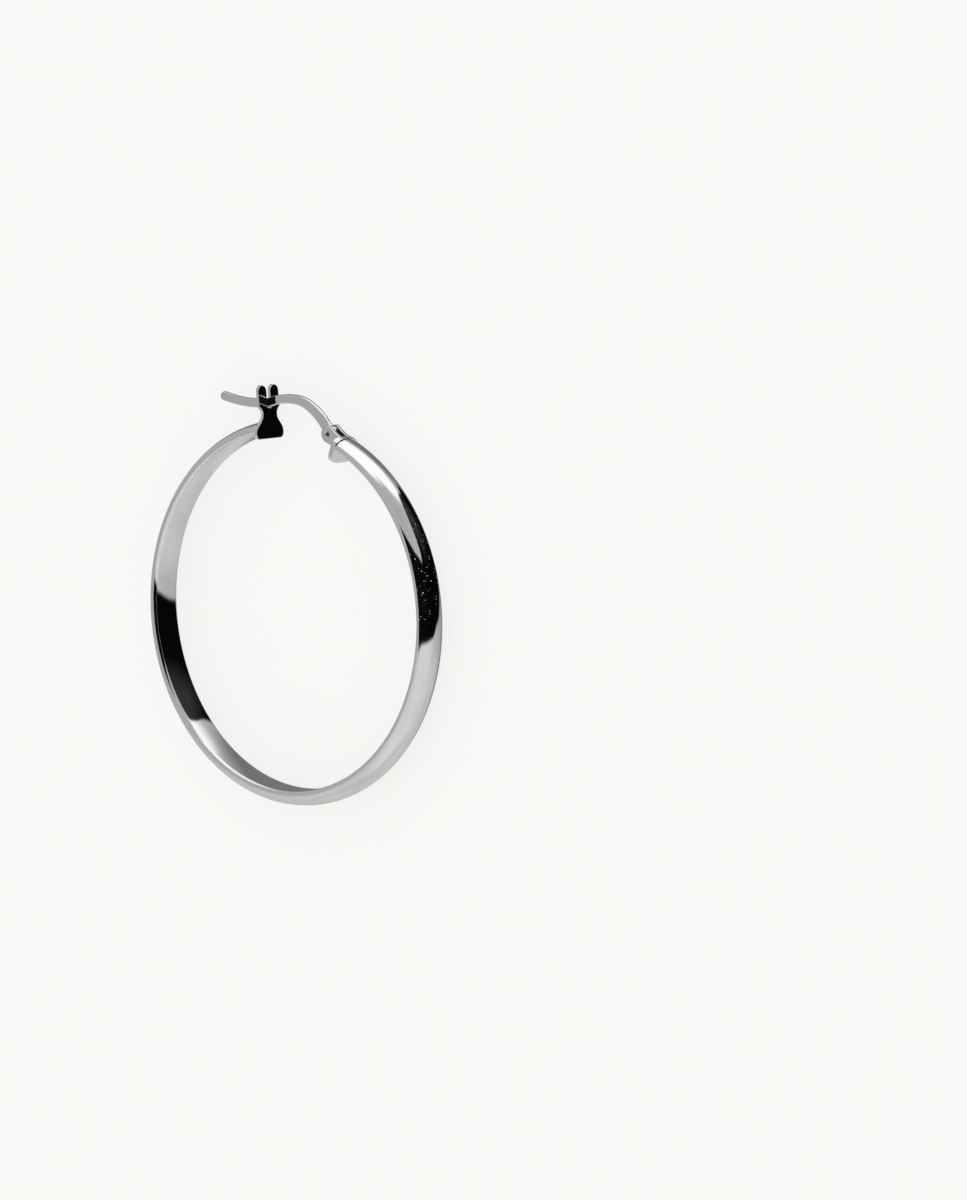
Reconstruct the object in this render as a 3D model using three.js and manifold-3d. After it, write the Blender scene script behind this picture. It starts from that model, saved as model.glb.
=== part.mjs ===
// Hinged creole hoop earring in polished silver, in millimetres.
// The hoop lies on its side. X runs across it to the right, Y points to the gap where the ear goes,
// and Z is the hoop's axis, straight up from the surface that it lies on.
// The hoop's centre is the origin until the last lines move the group onto its resting place.
import * as THREE from 'three';
import { mergeVertices } from 'three/addons/utils/BufferGeometryUtils.js';
import Module from 'manifold-3d';

const wasm = await Module();
wasm.setup();

// Band: a D-shaped tube bent to a circle, domed outside, all but flat inside, finer towards the gap.
const HOOP_DIAMETER = 40;
const BAND_WIDTH_LOW = 3.5;
const BAND_WIDTH_TOP = 3.2;
const BAND_DEPTH_LOW = 1.66;
const BAND_DEPTH_TOP = 1.34;
const BAND_EDGE_RADIUS = 0.34;
const INNER_CROWN = 0.07;
const BAND_STEPS = 80;
const DOME_STEPS = 12;
const EDGE_STEPS = 3;

// Catch plate: an upright plate on the left end, pinched at a waist and notched into two ears.
const CATCH_OFFSET = 3.54;
const PLATE_THICKNESS = 0.4;
const PLATE_HEIGHT = 5.55;
const PLATE_WIDTH = 3.98;
const PLATE_FOOT_DROP = 0.5;
const FOOT_CORNER = 0.6;
const WAIST_HEIGHT = 2.51;
const WAIST_WIDTH = 2.03;
const SHOULDER_HEIGHT = 3.33;
const EARS_WIDTH = 2.96;
const EARS_LEAN_DEGREES = 6.5;
const SEAT_HEIGHT = 3.73;
const SEAT_CLEARANCE = 0.07;
const SEAT_CORNER = 0.1;
const THROAT_CLEARANCE = 0.03;
const PLATE_CURVE_STEPS = 8;
const PLATE_CURVES = { footRun: 0.8, hip: 0.55, waist: 0.34, shoulder: 0.55 };

// Hinge cap: a thicker end plate on the right end, with a lobe inwards and a two-eared fork.
const HINGE_ANGLE_DEGREES = 20.3;
const CAP_THICKNESS = 0.6;
const CAP_OVERHANG = 0.06;
const LOBE_DROP = 1.38;
const LOBE_WIDTH = 3.3;
const PIVOT_STANDOFF = 1.58;
const PIVOT_INSET = 0.42;
const FORK_EAR_RADIUS = 0.92;
const FORK_EAR_THICKNESS = 0.4;
const FORK_CLEARANCE = 0.05;
const CAP_CURVE_STEPS = 6;
const CAP_CURVES = { crest: 0.7, fall: 0.2, side: 0.3, hip: 0.35, flank: 0.95, tip: 0.6 };
const FORK_CURVE_STEPS = 14;
const FORK_CURVES = { foot: 0.5, crest: 0.8, saddle: 0.4 };

// Hinge pin: a rivet through both ears of the fork, its ends a little below their faces.
const PIN_DIAMETER = 0.5;
const PIN_CLEARANCE = 0.04;
const PIN_RECESS = 0.05;
const HOLE_OVERRUN = 1;
const ROUND_STEPS = 20;

// Ear wire: wire rolled to two flat sides that pass the throat, and taller towards its eye.
const WIRE_HEIGHT = 0.96;
const WIRE_THICKNESS = 0.5;
const WIRE_FULLNESS = 1.15;
const ROOT_HEIGHT = 1.25;
const ROOT_LENGTH = 1.4;
const ROOT_RUNOUT = 6.5;
const EYE_RADIUS = 0.82;
const EYE_THICKNESS = 0.6;
const WIRE_SIDES = 16;
const WIRE_STEP = 0.45;
const BEND_STEPS = 40;
const TIP_STEPS = 4;
const TIP_START = 0.3;

// Bend line of the ear wire from its tip to the hinge, in shares of the straight line from its seat
// in the notch to the pivot: how far along that line, and how far outside it.
const WIRE_BENDS = [
  { name: 'tip', along: -0.676, rise: -0.154 },
  { name: 'dip', along: -0.419, rise: -0.1245 },
  { name: 'before catch', along: -0.2, rise: -0.073 },
  { name: 'catch', along: 0, rise: 0 },
  { name: 'after catch', along: 0.1343, rise: 0.0804 },
  { name: 'arch start', along: 0.3119, rise: 0.153 },
  { name: 'arch top', along: 0.4804, rise: 0.1865 },
  { name: 'arch end', along: 0.6073, rise: 0.174 },
  { name: 'root', along: 0.7744, rise: 0.12 },
  { name: 'neck', along: 0.9114, rise: 0.0413 },
  { name: 'pivot', along: 1, rise: 0 },
];

const WELD_DISTANCE = 1e-5;
const SILVER = { color: 0xd0d1d3, roughness: 0.06, metalness: 1 };

// Places that the sizes above settle.
const hoopRadius = HOOP_DIAMETER / 2;
const wireRadius = WIRE_HEIGHT / 2;
const pinRadius = PIN_DIAMETER / 2;
const pinHoleRadius = pinRadius + PIN_CLEARANCE;
const forkSlot = EYE_THICKNESS + 2 * FORK_CLEARANCE;
const forkWidth = forkSlot + 2 * FORK_EAR_THICKNESS;
const throatWidth = WIRE_THICKNESS + 2 * THROAT_CLEARANCE;
const hingeAngle = THREE.MathUtils.degToRad(HINGE_ANGLE_DEGREES);
const capMiddleAngle = hingeAngle + CAP_THICKNESS / 2 / hoopRadius;
const plateMiddle = -(CATCH_OFFSET + PLATE_THICKNESS / 2);
const innerRadiusTop = hoopRadius - BAND_DEPTH_TOP;
const plateFoot = Math.sqrt(innerRadiusTop ** 2 - plateMiddle ** 2) - PLATE_FOOT_DROP;
const plateLean = Math.tan(THREE.MathUtils.degToRad(EARS_LEAN_DEGREES));
const catchAngle = 2 * Math.PI + Math.asin(plateMiddle / (hoopRadius - BAND_DEPTH_TOP / 2));
const pivotRadius = hoopRadius - PIVOT_INSET;

// The directions at an angle from the gap, clockwise: outwards, along the hoop's axis, and onwards.
function frameAt(angle) {
  const outward = new THREE.Vector3(Math.sin(angle), Math.cos(angle), 0);
  const axial = new THREE.Vector3(0, 0, 1);
  const onward = new THREE.Vector3().crossVectors(outward, axial);
  return new THREE.Matrix4().makeBasis(outward, axial, onward);
}

const pivot = new THREE.Vector3(pivotRadius, 0, -PIVOT_STANDOFF).applyMatrix4(frameAt(hingeAngle));
const seat = new THREE.Vector3(
  plateMiddle - (SEAT_HEIGHT - WAIST_HEIGHT) * plateLean,
  plateFoot + SEAT_HEIGHT,
  0,
);

// A closed body through rings of points, each ring turning right-handed about the way onwards.
function loft(rings) {
  const count = rings[0].length;
  const corners = rings.flat();
  const faces = [];
  for (let j = 0; j + 1 < rings.length; j += 1) {
    for (let i = 0; i < count; i += 1) {
      const here = j * count + i;
      const next = j * count + ((i + 1) % count);
      faces.push(here, next, next + count, here, next + count, here + count);
    }
  }
  const last = (rings.length - 1) * count;
  for (let i = 1; i + 1 < count; i += 1) {
    faces.push(0, i + 1, i);
    faces.push(last, last + i, last + i + 1);
  }
  const geometry = new THREE.BufferGeometry().setFromPoints(corners);
  geometry.setIndex(faces);
  return geometry;
}

// A solid for joining and cutting, and the way back to a geometry.
function toSolid(geometry) {
  const bare = geometry.clone();
  bare.deleteAttribute('normal');
  bare.deleteAttribute('uv');
  const merged = mergeVertices(bare, WELD_DISTANCE);
  return new wasm.Manifold(new wasm.Mesh({
    numProp: 3,
    vertProperties: new Float32Array(merged.attributes.position.array),
    triVerts: new Uint32Array(merged.index.array),
  }));
}

function toGeometry(solid) {
  const result = solid.getMesh();
  const geometry = new THREE.BufferGeometry();
  geometry.setAttribute('position', new THREE.BufferAttribute(result.vertProperties, result.numProp));
  geometry.setIndex(new THREE.BufferAttribute(result.triVerts, 1));
  geometry.computeVertexNormals();
  return geometry;
}

// A plate with the outline of a shape, drawn by curveSegments steps on each curve.
function plate(shape, depth, curveSegments) {
  return new THREE.ExtrudeGeometry(shape, { depth, curveSegments, steps: 1, bevelEnabled: false });
}

// A round bar along the hoop's axis, centred on a point.
function axialBar(radius, length, centre) {
  const bar = new THREE.CylinderGeometry(radius, radius, length, ROUND_STEPS);
  bar.rotateX(Math.PI / 2);
  bar.translate(centre.x, centre.y, centre.z);
  return bar;
}

// The D outline as outward and axial distances: the inner face with its low crown, a rounded inner
// edge, the dome, and the other edge and half of the inner face as a mirror of the first.
function bandOutline(width, depth) {
  const inner = hoopRadius - depth;
  const side = inner + INNER_CROWN + BAND_EDGE_RADIUS;
  const flat = width / 2 - BAND_EDGE_RADIUS;
  const points = [[inner + INNER_CROWN / 4, -flat / 2]];
  for (let i = 0; i < EDGE_STEPS; i += 1) {
    const turn = (i / EDGE_STEPS) * (Math.PI / 2);
    const outward = side - BAND_EDGE_RADIUS * Math.cos(turn);
    points.push([outward, -(flat + BAND_EDGE_RADIUS * Math.sin(turn))]);
  }
  const half = points.length;
  for (let i = 0; i <= DOME_STEPS; i += 1) {
    const turn = (i / DOME_STEPS - 0.5) * Math.PI;
    points.push([side + (hoopRadius - side) * Math.cos(turn), (width / 2) * Math.sin(turn)]);
  }
  for (let i = half - 1; i >= 0; i -= 1) {
    const [outward, axial] = points[i];
    points.push([outward, -axial]);
  }
  points.push([inner, 0]);
  return points;
}

function band() {
  const rings = [];
  for (let j = 0; j <= BAND_STEPS; j += 1) {
    const angle = THREE.MathUtils.lerp(capMiddleAngle, catchAngle, j / BAND_STEPS);
    const towardsTop = (1 + Math.cos(angle)) / 2;
    const width = THREE.MathUtils.lerp(BAND_WIDTH_LOW, BAND_WIDTH_TOP, towardsTop);
    const depth = THREE.MathUtils.lerp(BAND_DEPTH_LOW, BAND_DEPTH_TOP, towardsTop);
    const frame = frameAt(angle);
    rings.push(bandOutline(width, depth).map(
      ([outward, axial]) => new THREE.Vector3(outward, axial, 0).applyMatrix4(frame),
    ));
  }
  return toSolid(loft(rings));
}

// The plate is drawn across (axial) and up from its waist, front face first, and stands with its
// thickness running away from the gap. Its foot is a round-cornered lobe that hides the tube's end.
function catchPlate() {
  const half = PLATE_WIDTH / 2;
  const waist = WAIST_WIDTH / 2;
  const foot = -WAIST_HEIGHT;
  const widest = foot + FOOT_CORNER;
  const bend = WAIST_HEIGHT - FOOT_CORNER;
  const hipHandle = bend * PLATE_CURVES.hip;
  const waistHandle = bend * PLATE_CURVES.waist;
  const footEnd = half - FOOT_CORNER * PLATE_CURVES.footRun;
  const lobe = new THREE.Shape();
  lobe.moveTo(-waist, 0);
  lobe.bezierCurveTo(-waist, -waistHandle, -half, -hipHandle, -half, widest);
  lobe.quadraticCurveTo(-half, foot, -footEnd, foot);
  lobe.lineTo(footEnd, foot);
  lobe.quadraticCurveTo(half, foot, half, widest);
  lobe.bezierCurveTo(half, -hipHandle, waist, -waistHandle, waist, 0);

  const outer = EARS_WIDTH / 2;
  const throat = throatWidth / 2;
  const earRadius = (outer - throat) / 2;
  const earMiddle = throat + earRadius;
  const earTop = PLATE_HEIGHT - WAIST_HEIGHT - earRadius;
  const shoulder = SHOULDER_HEIGHT - WAIST_HEIGHT;
  const shoulderHandle = shoulder * PLATE_CURVES.shoulder;
  const notchFoot = SEAT_HEIGHT - WAIST_HEIGHT - wireRadius - SEAT_CLEARANCE;
  const ears = new THREE.Shape();
  ears.moveTo(-waist, 0);
  ears.lineTo(waist, 0);
  ears.quadraticCurveTo(waist, shoulderHandle, outer, shoulder);
  ears.lineTo(outer, earTop);
  ears.absarc(earMiddle, earTop, earRadius, 0, Math.PI, false);
  ears.lineTo(throat, notchFoot + SEAT_CORNER);
  ears.lineTo(throat - SEAT_CORNER, notchFoot);
  ears.lineTo(SEAT_CORNER - throat, notchFoot);
  ears.lineTo(-throat, notchFoot + SEAT_CORNER);
  ears.lineTo(-throat, earTop);
  ears.absarc(-earMiddle, earTop, earRadius, 0, Math.PI, false);
  ears.lineTo(-outer, shoulder);
  ears.quadraticCurveTo(-waist, shoulderHandle, -waist, 0);

  const upright = new THREE.Matrix4().makeBasis(
    new THREE.Vector3(0, 0, 1),
    new THREE.Vector3(0, 1, 0),
    new THREE.Vector3(-1, 0, 0),
  );
  upright.setPosition(-CATCH_OFFSET, plateFoot + WAIST_HEIGHT, 0);
  const leaning = new THREE.Matrix4().makeShear(0, 0, 0, plateLean, 0, 0).premultiply(upright);
  const lower = plate(lobe, PLATE_THICKNESS, PLATE_CURVE_STEPS).applyMatrix4(upright);
  const upper = plate(ears, PLATE_THICKNESS, PLATE_CURVE_STEPS).applyMatrix4(leaning);
  return toSolid(lower).add(toSolid(upper));
}

// The cap is drawn outwards and across, with its full shoulders standing round the tube and its lobe
// below the tube's flat inner face.
function hingeCap() {
  const top = hoopRadius + CAP_OVERHANG;
  const half = BAND_WIDTH_TOP / 2 + CAP_OVERHANG;
  const inner = innerRadiusTop;
  const depth = BAND_DEPTH_TOP;
  const lobe = LOBE_WIDTH / 2;
  const hip = inner - LOBE_DROP * CAP_CURVES.hip;
  const flank = inner - LOBE_DROP * CAP_CURVES.flank;
  const bottom = inner - LOBE_DROP;
  const crest = half * CAP_CURVES.crest;
  const fall = top - depth * CAP_CURVES.fall;
  const side = inner + depth * CAP_CURVES.side;
  const tip = lobe * CAP_CURVES.tip;
  const outline = new THREE.Shape();
  outline.moveTo(top, 0);
  outline.bezierCurveTo(top, crest, fall, half, side, half);
  outline.quadraticCurveTo(inner, half, hip, lobe);
  outline.bezierCurveTo(flank, lobe, bottom, tip, bottom, 0);
  outline.bezierCurveTo(bottom, -tip, flank, -lobe, hip, -lobe);
  outline.quadraticCurveTo(inner, -half, side, -half);
  outline.bezierCurveTo(fall, -half, top, -crest, top, 0);
  return toSolid(plate(outline, CAP_THICKNESS, CAP_CURVE_STEPS).applyMatrix4(frameAt(hingeAngle)));
}

// Each ear of the fork is drawn outwards and ahead of the cap's face, and is round about the pivot.
function forkEar(side) {
  const low = pivotRadius - FORK_EAR_RADIUS;
  const top = hoopRadius + CAP_OVERHANG;
  const outline = new THREE.Shape();
  outline.moveTo(low, -CAP_THICKNESS * FORK_CURVES.foot);
  outline.lineTo(hoopRadius, -CAP_THICKNESS);
  outline.lineTo(top, -CAP_THICKNESS * FORK_CURVES.crest);
  outline.quadraticCurveTo(
    top,
    PIVOT_STANDOFF * FORK_CURVES.saddle,
    pivotRadius + FORK_EAR_RADIUS,
    PIVOT_STANDOFF,
  );
  outline.absarc(pivotRadius, PIVOT_STANDOFF, FORK_EAR_RADIUS, 0, Math.PI, false);
  const blank = plate(outline, FORK_EAR_THICKNESS, FORK_CURVE_STEPS);
  const start = side > 0 ? forkSlot / 2 : -forkSlot / 2 - FORK_EAR_THICKNESS;
  blank.translate(0, 0, start);
  blank.rotateZ(Math.PI / 2 - hingeAngle);
  return toSolid(blank);
}

function hoop() {
  const pinHole = toSolid(axialBar(pinHoleRadius, forkWidth + HOLE_OVERRUN, pivot));
  const fork = forkEar(1).add(forkEar(-1)).subtract(pinHole);
  return toGeometry(band().add(catchPlate()).add(hingeCap()).add(fork));
}

function hingePin() {
  return axialBar(pinRadius, forkWidth - 2 * PIN_RECESS, pivot);
}

// The ear wire's bend line through its seat in the notch and the pivot.
function wireLine() {
  const chord = new THREE.Vector3().subVectors(pivot, seat);
  const outside = new THREE.Vector3(-chord.y, chord.x, 0);
  const line = new THREE.CatmullRomCurve3(WIRE_BENDS.map(
    ({ along, rise }) => seat.clone().addScaledVector(chord, along).addScaledVector(outside, rise),
  ));
  line.arcLengthDivisions = BEND_STEPS * (WIRE_BENDS.length - 1);
  return line;
}

// Distances along the wire where its section is drawn, closer in the round tip.
function wireStations(length) {
  const stations = [];
  for (let i = 0; i < TIP_STEPS; i += 1) {
    const turn = ((i + TIP_START) / TIP_STEPS) * (Math.PI / 2);
    stations.push(wireRadius * (1 - Math.cos(turn)));
  }
  const steps = Math.round((length - wireRadius) / WIRE_STEP);
  for (let i = 0; i <= steps; i += 1) {
    stations.push(THREE.MathUtils.lerp(wireRadius, length, i / steps));
  }
  return stations;
}

function earWire() {
  const line = wireLine();
  const length = line.getLength();
  const axial = new THREE.Vector3(0, 0, 1);
  const rings = wireStations(length).map((at) => {
    const centre = line.getPointAt(at / length);
    const onward = line.getTangentAt(at / length);
    const outside = new THREE.Vector3().crossVectors(axial, onward);
    const toTip = Math.max(1 - at / wireRadius, 0);
    const taper = Math.sqrt(1 - toTip ** 2);
    const rolled = 1 - THREE.MathUtils.smoothstep(length - at, ROOT_LENGTH, ROOT_LENGTH + ROOT_RUNOUT);
    const height = taper * THREE.MathUtils.lerp(WIRE_HEIGHT, ROOT_HEIGHT, rolled);
    const reach = taper * wireRadius * WIRE_FULLNESS;
    const ring = [];
    for (let i = 0; i < WIRE_SIDES; i += 1) {
      const turn = (i / WIRE_SIDES) * 2 * Math.PI;
      const up = (height / 2) * Math.cos(turn);
      const across = THREE.MathUtils.clamp(
        reach * Math.sin(turn),
        -WIRE_THICKNESS / 2,
        WIRE_THICKNESS / 2,
      );
      ring.push(centre.clone().addScaledVector(outside, up).addScaledVector(axial, across));
    }
    return ring;
  });
  const eye = toSolid(axialBar(EYE_RADIUS, EYE_THICKNESS, pivot));
  const hole = toSolid(axialBar(pinHoleRadius, EYE_THICKNESS + HOLE_OVERRUN, pivot));
  return toGeometry(toSolid(loft(rings)).add(eye).subtract(hole));
}

function piece(name, geometry) {
  const mesh = new THREE.Mesh(geometry, new THREE.MeshStandardMaterial(SILVER));
  mesh.name = name;
  return mesh;
}

const group = new THREE.Group();
group.add(piece('hoop', hoop()));
group.add(piece('hinge_pin', hingePin()));
group.add(piece('ear_wire', earWire()));

// The origin is the middle of the bounding box, on the surface that the hoop lies on.
const box = new THREE.Box3().setFromObject(group);
const middle = box.getCenter(new THREE.Vector3());
group.position.set(-middle.x, -middle.y, -box.min.z);

export default group;
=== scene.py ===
# %% [markdown]
# # A hinged hoop earring in polished silver
# The earring is a D-shaped silver tube bent to a circle of 40 mm. An upright catch plate with two ears
# closes one end of the tube, and a cap that carries a small hinge closes the other. An arched wire
# turns in that hinge and drops into the notch between the ears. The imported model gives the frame:
# where every part is and how it moves. This lesson builds the fine, smooth surfaces that the eye sees,
# because a mirror finish shows every facet of a coarse mesh.

# %% Load the frame
from math import asin, cos, pi, radians, sin, sqrt, tan

import bmesh
import bpy
import numpy as np
from mathutils import Matrix, Vector


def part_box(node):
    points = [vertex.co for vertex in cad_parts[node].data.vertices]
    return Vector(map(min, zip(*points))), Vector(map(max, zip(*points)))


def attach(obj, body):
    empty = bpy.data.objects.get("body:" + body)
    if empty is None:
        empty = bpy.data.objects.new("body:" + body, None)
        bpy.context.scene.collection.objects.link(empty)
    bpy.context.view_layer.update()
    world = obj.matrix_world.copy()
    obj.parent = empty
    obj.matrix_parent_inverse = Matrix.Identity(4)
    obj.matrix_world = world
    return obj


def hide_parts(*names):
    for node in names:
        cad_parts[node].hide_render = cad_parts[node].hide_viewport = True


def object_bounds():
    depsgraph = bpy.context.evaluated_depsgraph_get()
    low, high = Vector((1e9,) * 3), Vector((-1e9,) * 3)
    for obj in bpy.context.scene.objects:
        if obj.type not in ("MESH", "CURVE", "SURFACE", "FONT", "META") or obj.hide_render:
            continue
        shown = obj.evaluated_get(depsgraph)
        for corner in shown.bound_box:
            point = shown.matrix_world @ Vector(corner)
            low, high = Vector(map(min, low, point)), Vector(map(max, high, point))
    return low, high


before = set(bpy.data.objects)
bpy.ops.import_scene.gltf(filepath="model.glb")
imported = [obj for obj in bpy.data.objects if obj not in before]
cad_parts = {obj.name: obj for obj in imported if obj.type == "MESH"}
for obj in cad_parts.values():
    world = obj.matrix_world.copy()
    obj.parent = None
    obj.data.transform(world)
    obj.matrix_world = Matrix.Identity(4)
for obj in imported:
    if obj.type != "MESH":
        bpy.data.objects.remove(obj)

CAD_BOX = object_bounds()

# %% [markdown]
# ## Places round the hoop
# The hoop lies on its side, so its axis points straight up along Z. An angle is measured from the gap,
# clockwise as seen from above. At each angle there are three useful directions: outwards from the
# centre, axial (up), and onwards along the tube. They turn a flat drawing of a section into its place
# on the hoop. All sizes are the real ones, written in millimetres and turned to metres by MM. Nothing
# has to be fitted by eye, because everything is measured from the hinge pin that came with the frame.

# %% Sizes of the hoop
MM = 0.001
HOOP_RADIUS = 20 * MM
BAND_WIDTH = {"low": 3.5 * MM, "top": 3.2 * MM}
BAND_DEPTH = {"low": 1.66 * MM, "top": 1.34 * MM}
BAND_EDGE = 0.34 * MM
INNER_CROWN = 0.07 * MM

CATCH_OFFSET = 3.54 * MM
PLATE_THICKNESS = 0.4 * MM
HINGE_ANGLE = radians(20.3)
PIVOT_STANDOFF = 1.58 * MM
PIVOT_INSET = 0.42 * MM
print("hoop of", HOOP_RADIUS * 2 / MM, "mm")

# %% Places from the frame
def directions(angle):
    """Outward, axial and onward directions at an angle from the gap, clockwise."""
    outward = Vector((sin(angle), cos(angle), 0))
    axial = Vector((0, 0, 1))
    return outward, axial, outward.cross(axial)


def placed(angle, points):
    """Points given as (outward, axial, onward) distances at that angle, about the hoop's centre."""
    outward, axial, onward = directions(angle)
    return [CENTRE + outward * a + axial * b + onward * c for a, b, c in points]


pin_low, pin_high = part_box("hinge_pin")
PIVOT = (Vector(pin_low) + Vector(pin_high)) / 2
PIVOT_RADIUS = HOOP_RADIUS - PIVOT_INSET
hinge_outward, _, hinge_onward = directions(HINGE_ANGLE)
CENTRE = PIVOT - hinge_outward * PIVOT_RADIUS + hinge_onward * PIVOT_STANDOFF
print("hoop centre (mm):", [round(v / MM, 3) for v in CENTRE])

# %% [markdown]
# ## The band
# The real tube is drawn down to a D, all but flat where it faces the neck and domed outside, and is
# then bent round. A curve with a bevel profile could sweep it, but that profile stays the same all the
# way, and the real tube grows a little wider and deeper towards its lowest place. So it is lofted
# through many thin sections, each drawn for its own place. Extra points lie close to the rounded inner
# edges, so that the inner face stays flat in a reflection.

# %% Helpers for pieces
def piece_from(builder, name, body, node):
    """A smooth-shaded object from a bmesh, riding on a body and standing for a node."""
    mesh = bpy.data.meshes.new(name)
    bmesh.ops.recalc_face_normals(builder, faces=builder.faces)
    builder.to_mesh(mesh)
    builder.free()
    mesh.polygons.foreach_set("use_smooth", [True] * len(mesh.polygons))
    piece = bpy.data.objects.new(name, mesh)
    bpy.context.scene.collection.objects.link(piece)
    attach(piece, body)
    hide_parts(node)
    print(name, len(mesh.polygons), "faces")
    return piece


def loft(rings):
    """A closed body through rings with the same number of points each."""
    builder = bmesh.new()
    rows = [[builder.verts.new(point) for point in ring] for ring in rings]
    for here, there in zip(rows, rows[1:]):
        for i in range(len(here)):
            j = (i + 1) % len(here)
            builder.faces.new((here[i], here[j], there[j], there[i]))
    builder.faces.new(reversed(rows[0]))
    builder.faces.new(rows[-1])
    return builder

# %% The section of the band
CROWN_SHARES = (0.25, 0.5, 0.75, 0.95)
EDGE_STEPS = 10
DOME_STEPS = 48


def band_outline(width, depth):
    """The D section as (outward, axial) points."""
    inside = HOOP_RADIUS - depth
    side = inside + INNER_CROWN + BAND_EDGE
    flat = width / 2 - BAND_EDGE
    crown = [(inside + INNER_CROWN * share ** 2, -flat * share) for share in CROWN_SHARES]
    edge = [(side - BAND_EDGE * cos(t), -(flat + BAND_EDGE * sin(t)))
            for t in np.linspace(0, pi / 2, EDGE_STEPS + 1)[:-1]]
    dome = [(side + (HOOP_RADIUS - side) * cos(t), width / 2 * sin(t))
            for t in np.linspace(-pi / 2, pi / 2, DOME_STEPS + 1)]
    mirrored = [(a, -b) for a, b in reversed(crown + edge)]
    return crown + edge + dome + mirrored + [(inside, 0)]

# %% The band
BAND_STEPS = 420
CAP_THICKNESS = 0.6 * MM

plate_middle = -(CATCH_OFFSET + PLATE_THICKNESS / 2)
catch_angle = 2 * pi + asin(plate_middle / (HOOP_RADIUS - BAND_DEPTH["top"] / 2))
cap_angle = HINGE_ANGLE + CAP_THICKNESS / 2 / HOOP_RADIUS
rings = []
for angle in np.linspace(cap_angle, catch_angle, BAND_STEPS + 1):
    towards_top = (1 + cos(angle)) / 2
    width = BAND_WIDTH["low"] + (BAND_WIDTH["top"] - BAND_WIDTH["low"]) * towards_top
    depth = BAND_DEPTH["low"] + (BAND_DEPTH["top"] - BAND_DEPTH["low"]) * towards_top
    rings.append(placed(angle, [(a, b, 0) for a, b in band_outline(width, depth)]))
band = piece_from(loft(rings), "band", "hoop_body", "hoop")

# %% [markdown]
# ## The catch plate
# A stamped plate closes the tube's left end and stands up past it. Its foot is a round-cornered lobe,
# then comes a waist, a sharp shoulder, and two ears with a narrow notch between them. The wire drops
# into that notch and rests near its foot. The plate could be cut from a block with Booleans, but those
# leave slivers that spoil a mirror finish. Here one half of the outline is drawn from the foot to the
# notch, mirrored, and moved along its thickness. A Bevel modifier then rounds the edges, because a
# stamped and tumbled edge is never sharp, and the thin bright line on it is what makes metal look like
# metal. Weighted normals keep the broad faces flat in a reflection.

# %% Helpers for plates
SHARP_ANGLE = radians(35)
FLAT_WEIGHT = 90


def arc(middle, radius, start, end, steps):
    """Points on an arc in a flat drawing, both ends included."""
    turns = np.linspace(start, end, steps + 1)
    return [(middle[0] + radius * cos(t), middle[1] + radius * sin(t)) for t in turns]


def bezier(handles, steps):
    """Points on a Bezier curve from its first handle to its last, without the first."""
    points = []
    for share in np.linspace(0, 1, steps + 1)[1:]:
        level = [np.array(handle) for handle in handles]
        while len(level) > 1:
            level = [a * (1 - share) + b * share for a, b in zip(level, level[1:])]
        points.append(tuple(level[0]))
    return points


def extruded(outline, shift):
    """A plate between a flat outline and its copy moved by shift."""
    builder = bmesh.new()
    front = [builder.verts.new(point) for point in outline]
    back = [builder.verts.new(point + shift) for point in outline]
    builder.faces.new(front)
    builder.faces.new(reversed(back))
    for i in range(len(front)):
        j = (i + 1) % len(front)
        builder.faces.new((front[i], back[i], back[j], front[j]))
    return builder


def soften(piece, width, segments):
    """Rounds the sharp edges and keeps the flat faces flat to the eye."""
    bevel = piece.modifiers.new("rounded_edges", "BEVEL")
    bevel.width = width
    bevel.segments = segments
    bevel.limit_method = "ANGLE"
    bevel.angle_limit = SHARP_ANGLE
    bevel.harden_normals = True
    normals = piece.modifiers.new("flat_faces", "WEIGHTED_NORMAL")
    normals.keep_sharp = False
    normals.weight = FLAT_WEIGHT

# %% Sizes of the catch plate
PLATE_HEIGHT = 5.55 * MM
PLATE_WIDTH = 3.98 * MM
PLATE_FOOT_DROP = 0.5 * MM
FOOT_CORNER = 0.6 * MM
WAIST_HEIGHT = 2.51 * MM
WAIST_WIDTH = 2.03 * MM
SHOULDER_HEIGHT = 3.33 * MM
EARS_WIDTH = 2.96 * MM
EARS_LEAN = tan(radians(6.5))
SEAT_HEIGHT = 3.73 * MM
SEAT_CLEARANCE = 0.07 * MM
SEAT_CORNER = 0.1 * MM
THROAT_WIDTH = 0.56 * MM
WIRE_HEIGHT = 0.96 * MM
PLATE_BEVEL = 0.05 * MM
PLATE_CURVES = {"foot_run": 0.8, "hip": 0.55, "waist": 0.34, "shoulder": 0.55}

inner_radius = HOOP_RADIUS - BAND_DEPTH["top"]
plate_foot = sqrt(inner_radius ** 2 - plate_middle ** 2) - PLATE_FOOT_DROP
print("plate stands from", round(plate_foot / MM, 2), "mm above the hoop's centre")

# %% Draw one half of the plate, across and up from the middle of the waist
half = PLATE_WIDTH / 2
waist = WAIST_WIDTH / 2
foot = -WAIST_HEIGHT
foot_run = FOOT_CORNER * PLATE_CURVES["foot_run"]
bend_height = WAIST_HEIGHT - FOOT_CORNER
hip_handle = -bend_height * PLATE_CURVES["hip"]
waist_handle = -bend_height * PLATE_CURVES["waist"]
shoulder = SHOULDER_HEIGHT - WAIST_HEIGHT
shoulder_handle = shoulder * PLATE_CURVES["shoulder"]
outer = EARS_WIDTH / 2
throat = THROAT_WIDTH / 2
ear_radius = (outer - throat) / 2
ear_middle = (throat + ear_radius, PLATE_HEIGHT - WAIST_HEIGHT - ear_radius)
notch_foot = SEAT_HEIGHT - WAIST_HEIGHT - WIRE_HEIGHT / 2 - SEAT_CLEARANCE
notch_side = (throat, notch_foot + SEAT_CORNER)

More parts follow.
